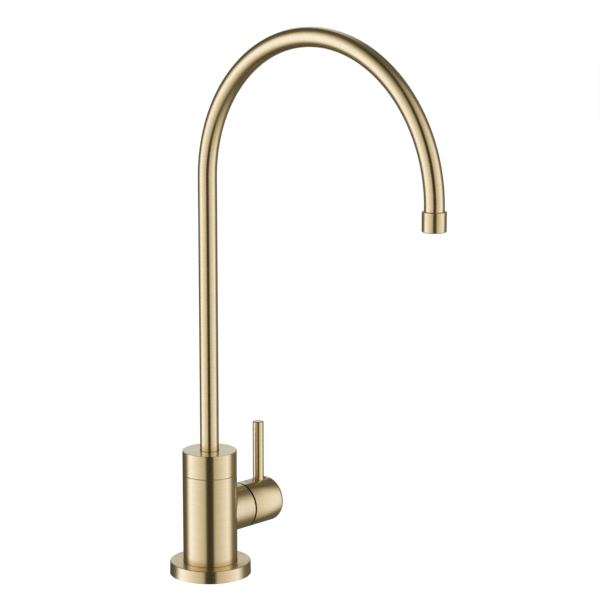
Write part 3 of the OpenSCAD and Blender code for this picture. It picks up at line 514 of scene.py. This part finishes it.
def gooseneck():
    """The spout tube: a ring carried along the tube's middle line.

    The middle line goes straight up from (0, 0, foot) to the arch's centre height,
    round a half circle in the plane x = 0, and straight down to the outlet. With
    angle t round the arch, the line is (0, -R + R cos t, Z + R sin t) and its
    sideways direction in the plane is (0, cos t, sin t). A point of the wall is the
    line + r (sideways cos a - x sin a). The outer wall runs up and the bore comes
    back, so the skin closes at both ends.
    """
    rise = np.linspace(TUBE_FOOT_Z, ARCH_Z, 24)[:-1]
    bend = np.linspace(0.0, math.pi, 181)
    drop = np.linspace(ARCH_Z, TUBE_END_Z, 4)[1:]
    turn = np.concatenate([np.zeros_like(rise), bend, np.full_like(drop, math.pi)])
    y = -ARCH_R + ARCH_R * np.cos(turn)
    z = np.concatenate([rise, ARCH_Z + ARCH_R * np.sin(bend), drop])
    length = np.concatenate([[0.0], np.cumsum(np.hypot(np.diff(y), np.diff(z)))])
    columns = 72
    a = np.arange(columns) / columns * FULL_TURN

    def wall(radius):
        side = radius * np.cos(a)[None, :]
        return np.stack([
            np.broadcast_to(-radius * np.sin(a), (len(turn), columns)),
            y[:, None] + side * np.cos(turn)[:, None],
            z[:, None] + side * np.sin(turn)[:, None],
        ], axis=-1)

    points = np.concatenate([wall(TUBE_R), wall(TUBE_BORE_R)[::-1]])
    run = np.concatenate([length, length[::-1], length[:1]]) * MM
    share = np.linspace(0.0, 1.0, columns + 1)
    uv = np.stack(np.meshgrid(run, share, indexing="ij"), axis=-1)
    return grid_mesh("gooseneck_tube", points, uv)


def barrel_fillet(ball_r=1.3, sunk=2.4, steps=14, columns=144):
    """The soft hollow where the side barrel meets the body.

    A ball of radius q rolls in the corner between the body (radius R about z) and the
    barrel (radius r about x). At angle p round the barrel its centre is at
    y = (r + q) cos p, z = valve height + (r + q) sin p, x = root((R + q)^2 - y^2).
    It touches the body at R / (R + q) of its distance from the axis and the barrel
    straight below it, and the skin is the arc between those two points. The section
    closes inside the metal, sunk ball radii from the ball's centre.
    """
    p = np.arange(columns) / columns * FULL_TURN
    reach = VALVE_R + ball_r
    centre = np.stack([
        np.sqrt((BODY_R + ball_r) ** 2 - (reach * np.cos(p)) ** 2),
        reach * np.cos(p),
        VALVE_Z + reach * np.sin(p),
    ], axis=-1)
    share = BODY_R / (BODY_R + ball_r)
    on_body = centre * np.array([share, share, 1.0])
    on_barrel = np.stack([centre[:, 0], VALVE_R * np.cos(p), VALVE_Z + VALVE_R * np.sin(p)], -1)
    from_body = (on_body - centre) / ball_r
    from_barrel = (on_barrel - centre) / ball_r
    between = np.arccos(np.clip((from_body * from_barrel).sum(-1), -1, 1))[:, None]
    t = np.linspace(0.0, 1.0, steps)[:, None, None]
    arc = centre + ball_r * (np.sin((1 - t) * between) * from_body
                             + np.sin(t * between) * from_barrel) / np.sin(between)
    inward = 0.5 * (from_body + from_barrel)
    hidden = centre + inward / np.linalg.norm(inward, axis=-1, keepdims=True) * sunk * ball_r
    points = np.concatenate([arc, hidden[None]])
    return grid_mesh("barrel_fillet", points, sharp=math.radians(28))


def smooth_hub():
    """The handle hub's own skin, with the true normal of its rounded far edge.

    The mesh is a merged copy of the node's. On the round, the normal is the direction
    from the edge circle, radius (hub radius - edge radius) at x = end - edge radius, to
    the point. On the wall it points straight out from the axis. Elsewhere the corner
    keeps its smooth or sharp normal. near and off_round, in millimetres, are how close
    a corner has to lie to the wall and to the round to count as on them.
    """
    near, off_round = 0.02, 0.06
    mesh = bpy.data.meshes.new("hub_turned")
    merged = bmesh.new()
    merged.from_mesh(nodes["handle_hub"].data)
    bmesh.ops.remove_doubles(merged, verts=merged.verts[:], dist=1e-6)
    merged.to_mesh(mesh)
    merged.free()
    mesh.shade_smooth()
    mesh.set_sharp_from_angle(angle=math.radians(30))
    corner_count = len(mesh.loops)
    co = np.zeros(len(mesh.vertices) * 3)
    mesh.vertices.foreach_get("co", co)
    index = np.zeros(corner_count, int)
    mesh.loops.foreach_get("vertex_index", index)
    normal = np.zeros(corner_count * 3)
    mesh.corner_normals.foreach_get("vector", normal)
    normal = normal.reshape(-1, 3)
    at = co.reshape(-1, 3)[index] / MM - np.array([0.0, 0.0, VALVE_Z])
    radius = np.hypot(at[:, 1], at[:, 2])
    circle_r, circle_x = VALVE_R - HUB_EDGE_R, HUB_END_X - HUB_EDGE_R
    way = np.stack([
        at[:, 0] - circle_x,
        (radius - circle_r) * at[:, 1] / np.maximum(radius, 1e-9),
        (radius - circle_r) * at[:, 2] / np.maximum(radius, 1e-9),
    ], axis=-1)
    size = np.linalg.norm(way, axis=-1)
    on_round = ((np.abs(size - HUB_EDGE_R) < off_round) & (at[:, 0] > circle_x - near)
                & (radius > circle_r - near) & ((normal * way).sum(-1) > 0.9 * size))
    normal[on_round] = (way / size[:, None])[on_round]
    on_wall = (np.abs(radius - VALVE_R) < near) & (np.abs(normal[:, 0]) < 0.3) & ~on_round
    normal[on_wall] = (at * [0, 1, 1] / radius[:, None])[on_wall]
    mesh.normals_split_custom_set(normal.tolist())
    piece = bpy.data.objects.new("hub_turned", mesh)
    bpy.context.scene.collection.objects.link(piece)
    return piece


def slim_edged_cap(foot_edge=0.15, top_edge=0.3, bore=5.6, roof=2.5, wall=2.6):
    """The spout cap with finely rounded edges, so that the swivel seam under it is slim.

    Its foot reaches foot_edge below the solid's, to half of the solid's seam.
    """
    foot, ceiling, inside = CAP_FOOT_Z - foot_edge, CAP_TOP_Z - roof, BODY_R - wall
    return turned_mesh("cap_turned", np.concatenate([
        rounded((BODY_R - foot_edge, CAP_FOOT_Z), foot_edge, -90, 0),
        rounded((BODY_R - top_edge, CAP_TOP_Z - top_edge), top_edge, 0, 90),
        [(bore, CAP_TOP_Z), (bore, ceiling), (inside, ceiling), (inside, foot)],
    ]), 144)


def washer(name, foot, top, edge, outer=19.0, bore=7.3):
    """A flat ring under the deck whose four corners are rounded off."""
    return turned_mesh(name, np.concatenate([
        rounded((outer - edge, foot + edge), edge, -90, 0),
        rounded((outer - edge, top - edge), edge, 0, 90),
        rounded((bore + edge, top - edge), edge, 90, 180),
        rounded((bore + edge, foot + edge), edge, 180, 270),
    ]), 96)


def shank_with_threads():
    """The hollow shank with its three threads cut: tail, large and upper.

    The radius is the outline's minus thread depth times groove_share, outside the bore.
    """
    bore, tail, large, upper = 3.5, 5.55, 7.0, 6.0
    foot, neck, top = -61.5, -52.0, 17.0

    def cut(radius, height, angle):
        depth = sum(deep * groove_share(height, angle, pitch, start, end)
                    for deep, pitch, start, end in [TAIL_THREAD, LARGE_THREAD, UPPER_THREAD])
        return radius - np.where(radius > bore + 1.0, depth, 0.0)

    outline = np.concatenate([
        [(3.8, foot), (5.0, foot)],
        straight(tail, TAIL_THREAD[2], neck, TAIL_THREAD[1] / 8), [(6.45, neck)],
        straight(large, LARGE_THREAD[2], 0.0, LARGE_THREAD[1] / 8),
        straight(upper, 0.0, UPPER_THREAD[3], UPPER_THREAD[1] / 8),
        [(5.4, top), (3.8, top), (bore, 16.7), (bore, -61.2)],
    ])
    return turned_mesh("shank_threaded", outline, 64, cut, math.radians(80))


def flanged_nut():
    """The fixing nut: a chamfered hexagon on a round flange, with its thread in the bore.

    Below the flange the radius is the lesser of the outline's and the hexagon's. The
    ridges of the bore reach into the shank's grooves by ridge times groove_share.
    """
    flange, bore_foot, bore_top, ridge = -36.6, -43.0, -35.2, 0.7

    def cut(radius, height, angle):
        spanner = (radius > 10) & (radius < 14.2) & (height < flange + 1e-6)
        r = np.where(spanner, np.minimum(radius, hexagon(NUT_FLATS, angle)), radius)
        inwards = ridge * groove_share(height, angle, NUT_PITCH, bore_foot, bore_top)
        return r - np.where(radius < 7.5, inwards, 0.0)

    outline = np.concatenate([
        [(7.8, -43.6), (11.7, -43.6), (12.2, -43.45), (12.8, -43.2), (13.4, -42.9),
         (13.9, -42.6), (13.9, flange), (14.5, flange)],
        rounded((14.5, -36.1), 0.5, -60, 0, 4), rounded((14.6, -35.0), 0.4, 0, 90, 4),
        [(7.8, STEEL_FOOT_Z)], straight(7.1, bore_top, bore_foot, NUT_PITCH / 8),
    ])
    return turned_mesh("nut_flanged", outline, 96, cut, math.radians(50))


def push_in_adapter():
    """The inlet adapter: a chamfered hexagon for the spanner over a barrel with grip flutes.

    The hexagon is the lesser of the outline and the flats. A flute lowers the barrel by
    half its depth times (1 + cos(flutes times angle)), fading out at both ends.
    """
    waist, grip_foot, grip_top, fading, half_flute = -64.5, -82.5, -66.5, 1.5, 0.15

    def cut(radius, height, angle):
        spanner = (radius > 8.3) & (height > waist - 1e-6)
        r = np.where(spanner, np.minimum(radius, hexagon(ADAPTER_FLATS, angle)), radius)
        fade = (np.clip((height - grip_foot) / fading, 0, 1)
                * np.clip((grip_top - height) / fading, 0, 1))
        flute = half_flute * (1 + np.cos(ADAPTER_FLUTES * angle)) * fade
        return r - np.where((radius > 8.0) & ~spanner, flute, 0.0)

    outline = np.concatenate([
        rounded((7.5, -83.3), 0.7, -90, 0), straight(8.2, grip_foot, grip_top, 0.5),
        [(8.2, waist), (8.6, waist), (9.0, -64.35), (9.4, -64.15), (9.85, -63.9),
         (9.85, -53.2), (9.4, -52.95), (9.0, -52.75), (8.6, -52.6),
         (5.95, -52.6), (5.65, -52.9), (5.65, -63.5), (2.6, -63.5), (2.6, -67.0),
         (3.255, -67.0), (3.255, -72.0), (5.2, -72.0), (5.2, -75.2),
         (6.0, -75.2), (6.0, -83.7), (6.3, -84.0)],
    ])
    return turned_mesh("adapter_moulded", outline, 144, cut)


tube = gooseneck()
dress(tube, gold_tube)
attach(tube, "spout")
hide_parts("spout_tube")

fillet = barrel_fillet()
dress(fillet, gold_body)
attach(fillet, "base")

hub = smooth_hub()
dress(hub, gold_hub)
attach(hub, "handle")
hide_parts("handle_hub")

cap = slim_edged_cap()
dress(cap, gold_upright)
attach(cap, "spout")
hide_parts("spout_cap")

for piece, finish, slot, node in [
    (shank_with_threads(), brass_upright, "raw_brass", "threaded_shank"),
    (flanged_nut(), brass_upright, "raw_brass", "mounting_nut"),
    (push_in_adapter(), grey_plastic, "grey_plastic", "adapter_body"),
    (washer("washer_soft", RUBBER_FOOT_Z, DECK_UNDERSIDE_Z, 0.6), rubber, "black_rubber",
     "deck_rubber_washer"),
    (washer("washer_hard", STEEL_FOOT_Z, RUBBER_FOOT_Z, 0.3), steel_upright,
     "stainless_steel", "deck_steel_washer"),
]:
    dress(piece, finish)
    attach(piece, "base")
    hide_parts(node)

NODE_FINISHES = {
    gold_body: ["valve_body"],
    gold_upright: ["base_flange"],
    gold_lever: ["handle_lever"],
    gold_collar: ["outlet_collar"],
    brass_upright: ["spout_stem"],
    brass_valve: ["cartridge_housing", "cartridge_ring_nut", "valve_stem"],
    steel_upright: ["grab_ring"],
    steel_valve: ["stem_snap_ring"],
    steel_screw: ["hub_set_screw"],
    steel_outlet: ["outlet_screen"],
    rubber: ["base_gasket", "cartridge_inlet_seal", "cartridge_o_ring", "shank_seal",
             "adapter_gasket", "adapter_o_ring",
             "spout_o_ring_lower", "spout_o_ring_upper", "outlet_gasket", "stem_o_ring"],
    white_plastic: ["spout_glide_ring", "spout_keeper_ring", "release_collet",
                    "flow_straightener", "stem_slip_washer"],
    grey_plastic: ["adapter_end_sleeve"],
    ceramic: ["fixed_ceramic_disc", "moving_ceramic_disc"],
}
for finish, names in NODE_FINISHES.items():
    for name in names:
        coat(nodes[name], finish)


# Stage

# The photograph's camera, in metres, degrees and the picture's pixels: how far from the
# tap's axis and how high, how far round to the side, how far down and aside it looks
CAMERA_DISTANCE = 1.27288
CAMERA_HEIGHT = 0.41386
CAMERA_ROUND = -44.372
CAMERA_DOWN = 11.114
CAMERA_ASIDE = -2.387
FOCAL_PIXELS = 2240.25
PICTURE_PIXELS = 600.0
SENSOR_MM = 36.0

CAMERA_TURN = math.radians(CAMERA_ROUND)
CAMERA_WAY = (math.sin(CAMERA_TURN), -math.cos(CAMERA_TURN), 0.0)
CAMERA_RIGHT = (math.cos(CAMERA_TURN), math.sin(CAMERA_TURN), 0.0)

# Light of the studio: the dim flanks, the boxes, their brightest places and the backdrop
DIM_LIGHT = (1.05, 1.0, 0.78, 1)
BOX_LIGHT = (1.03, 1.0, 0.92, 1)
BRIGHT_LIGHT = (0.95, 1.05, 1.34, 1)
BACKDROP_LIGHT = (0.95, 1.0, 1.04, 1)
WHITE = (1, 1, 1, 1)


def stage_camera():
    """The photograph's viewing angle and field of view."""
    data = bpy.data.cameras.new("camera")
    data.sensor_width = SENSOR_MM
    data.lens = FOCAL_PIXELS * SENSOR_MM / PICTURE_PIXELS
    data.clip_start, data.clip_end = 0.05, 20.0
    camera = bpy.data.objects.new("camera", data)
    camera.location = (CAMERA_DISTANCE * CAMERA_WAY[0], CAMERA_DISTANCE * CAMERA_WAY[1],
                       CAMERA_HEIGHT)
    camera.rotation_euler = (math.radians(90 - CAMERA_DOWN), 0.0,
                             CAMERA_TURN + math.radians(CAMERA_ASIDE))
    bpy.context.scene.collection.objects.link(camera)
    bpy.context.scene.camera = camera


def stage_floor():
    """The deck: a plain pale sheet, nearly white to the camera, that keeps a soft shadow.

    It lies a hair under z = 0, so that the base stands on it. To the camera it gives 0.94
    of white by itself and scatters a fifth of its light, which holds the shadow. To all
    else it is a matt pale grey, and the metal's mirror doesn't see it.
    """
    mesh = bpy.data.meshes.new("deck")
    half = 3.0
    z = -0.02 * MM
    mesh.from_pydata([(-half, -half, z), (half, -half, z), (half, half, z), (-half, half, z)],
                     [], [(0, 1, 2, 3)])
    floor = bpy.data.objects.new("deck", mesh)
    bpy.context.scene.collection.objects.link(floor)
    f = Finish(bpy.data.materials.new("pale_deck"))
    to_camera = f.add("LightPath", out="Is Camera Ray")
    white = f.add("Emission", WHITE, f.math("MULTIPLY", to_camera, 0.94))
    matt = f.add("BsdfDiffuse", f.blend(to_camera, (0.7, 0.7, 0.7, 1), (0.2, 0.2, 0.2, 1)))
    f.add("OutputMaterial", f.add("AddShader", white, matt))
    mesh.materials.append(f.owner)
    floor.visible_glossy = False


def soft_step(f, value, start, end):
    """0 before start, 1 after end, smooth between. start may be the greater."""
    return f.add("MapRange", value, start, end, 0.0, 1.0, interpolation_type="SMOOTHSTEP")


def stage_world():
    """A plain studio: two tall soft boxes, one on each side, and a pale backdrop behind.

    By direction: turn is the angle round from the camera, in degrees to the right, a
    is its size and height is the angle above the level. Each soft box starts about 16
    degrees round, grows brighter up to 88 degrees, and ends near 100 degrees. It fades
    out upwards, and downwards from -13 to -79 degrees. A pale backdrop stands opposite
    the camera, past 161 degrees round and from -40 to 66 high, which only mirrors see,
    and the flanks between are nearly dark. The ground in front of the tap, towards the
    camera, gives a little light from below.
    """
    world = bpy.data.worlds.new("studio")
    f = Finish(world)
    way = f.vector("NORMALIZE", f.add("TexCoord", out=0))
    ahead = f.measure("DOT_PRODUCT", way, CAMERA_WAY)
    right = f.measure("DOT_PRODUCT", way, CAMERA_RIGHT)
    up = f.split(way)[2]
    degrees = 180 / math.pi
    turn = f.math("MULTIPLY", f.math("ARCTAN2", right, ahead), degrees)
    a = f.math("ABSOLUTE", turn)
    height = f.math("MULTIPLY", f.math("ARCSINE", up), degrees)

    above = f.math("MAXIMUM", height, 0.0)
    past_side = f.math("MAXIMUM", f.math("SUBTRACT", a, 75.0), 0.0)

    def box(side, inner, outer, edge, lean, near, far, full, top, droop):
        """One soft box: its light by direction, from near at its inner side to far at 88.

        side is 1 on the right and -1 on the left. Its outer side leans out by lean
        degrees for each degree of height above the level, and fades over edge degrees
        both ways, with a fainter glow far past it. It is full up to the height full and
        ends at the height top, and both come down by droop degrees for each degree that
        it goes round past 75.
        """
        round_to = f.math("MULTIPLY", turn, side)
        on_side = soft_step(f, round_to, inner - 4, inner + 5)
        leaned = f.math("MULTIPLY_ADD", above, -lean, round_to)
        past = f.math("MULTIPLY_ADD", soft_step(f, leaned, outer + edge, outer - edge), 0.87,
                      f.math("MULTIPLY", soft_step(f, leaned, 150.0, 80.0), 0.13))
        upper = soft_step(f, f.math("MULTIPLY_ADD", past_side, droop, height), top, full)
        level = f.remap(a, inner, 88.0, near, far)
        return f.math("MULTIPLY", f.math("MULTIPLY", on_side, past),
                      f.math("MULTIPLY", upper, level))

    left = box(side=-1.0, inner=16.4, outer=106.5, edge=14.0, lean=0.0,
               near=0.53, far=1.27, full=6.0, top=75.0, droop=0.0)
    right = box(side=1.0, inner=15.8, outer=98.0, edge=17.0, lean=0.15,
                near=0.52, far=1.18, full=12.0, top=100.0, droop=0.8)
    lower = soft_step(f, height, -79.0, -13.0)
    boxes = f.math("MULTIPLY", f.math("ADD", left, right), lower)
    behind = f.math("MULTIPLY", soft_step(f, a, 161.0, 177.0),
                    f.math("MULTIPLY", soft_step(f, height, -40.0, 2.0),
                           soft_step(f, height, 66.0, 40.0)))
    flank = f.math("MULTIPLY", soft_step(f, a, 90.0, 125.0),
                   f.remap(turn, -60.0, 60.0, 0.05, 0.09))
    front = f.math("MULTIPLY", soft_step(f, height, -20.0, -46.0), soft_step(f, a, 95.0, 55.0))
    dim = f.math("ADD", flank, f.math("MULTIPLY_ADD", front, 0.085, 0.04))
    level = f.math("ADD", boxes, dim)
    tint = f.blend(f.remap(level, 0.1, 0.7, 0.0, 1.0), DIM_LIGHT, BOX_LIGHT)
    tint = f.blend(f.remap(level, 0.7, 1.2, 0.0, 1.0), tint, BRIGHT_LIGHT)
    studio = f.add("Mix", out=2, data_type="RGBA", blend_type="MULTIPLY",
                   sockets={0: 1.0, 6: tint, 7: f.join(level, level, level)})
    seen = f.math("MAXIMUM", f.add("LightPath", out="Is Camera Ray"),
                  f.add("LightPath", out="Is Transmission Ray"))
    mirrored = f.math("MULTIPLY", f.math("MULTIPLY", behind, 0.67),
                      f.add("LightPath", out="Is Glossy Ray"))
    with_backdrop = f.blend(mirrored, studio, BACKDROP_LIGHT)
    colour = f.blend(seen, with_backdrop, WHITE)
    f.add("OutputWorld", f.add("Background", colour, 1.0))
    bpy.context.scene.world = world


def stage_lamp():
    """A wide lamp overhead that lights the plain surfaces and leaves the metal's mirror alone."""
    data = bpy.data.lights.new("overhead", "AREA")
    data.shape = "DISK"
    data.size = 1.6
    data.energy = 14.0
    lamp = bpy.data.objects.new("overhead", data)
    lamp.location = (-0.3, -0.4, 1.5)
    lamp.rotation_euler = (math.radians(-16), math.radians(-12), 0.0)
    lamp.visible_glossy = False
    lamp.visible_camera = False
    bpy.context.scene.collection.objects.link(lamp)


stage_camera()
stage_floor()
stage_world()
stage_lamp()
bpy.context.scene.view_settings.view_transform = "Standard"
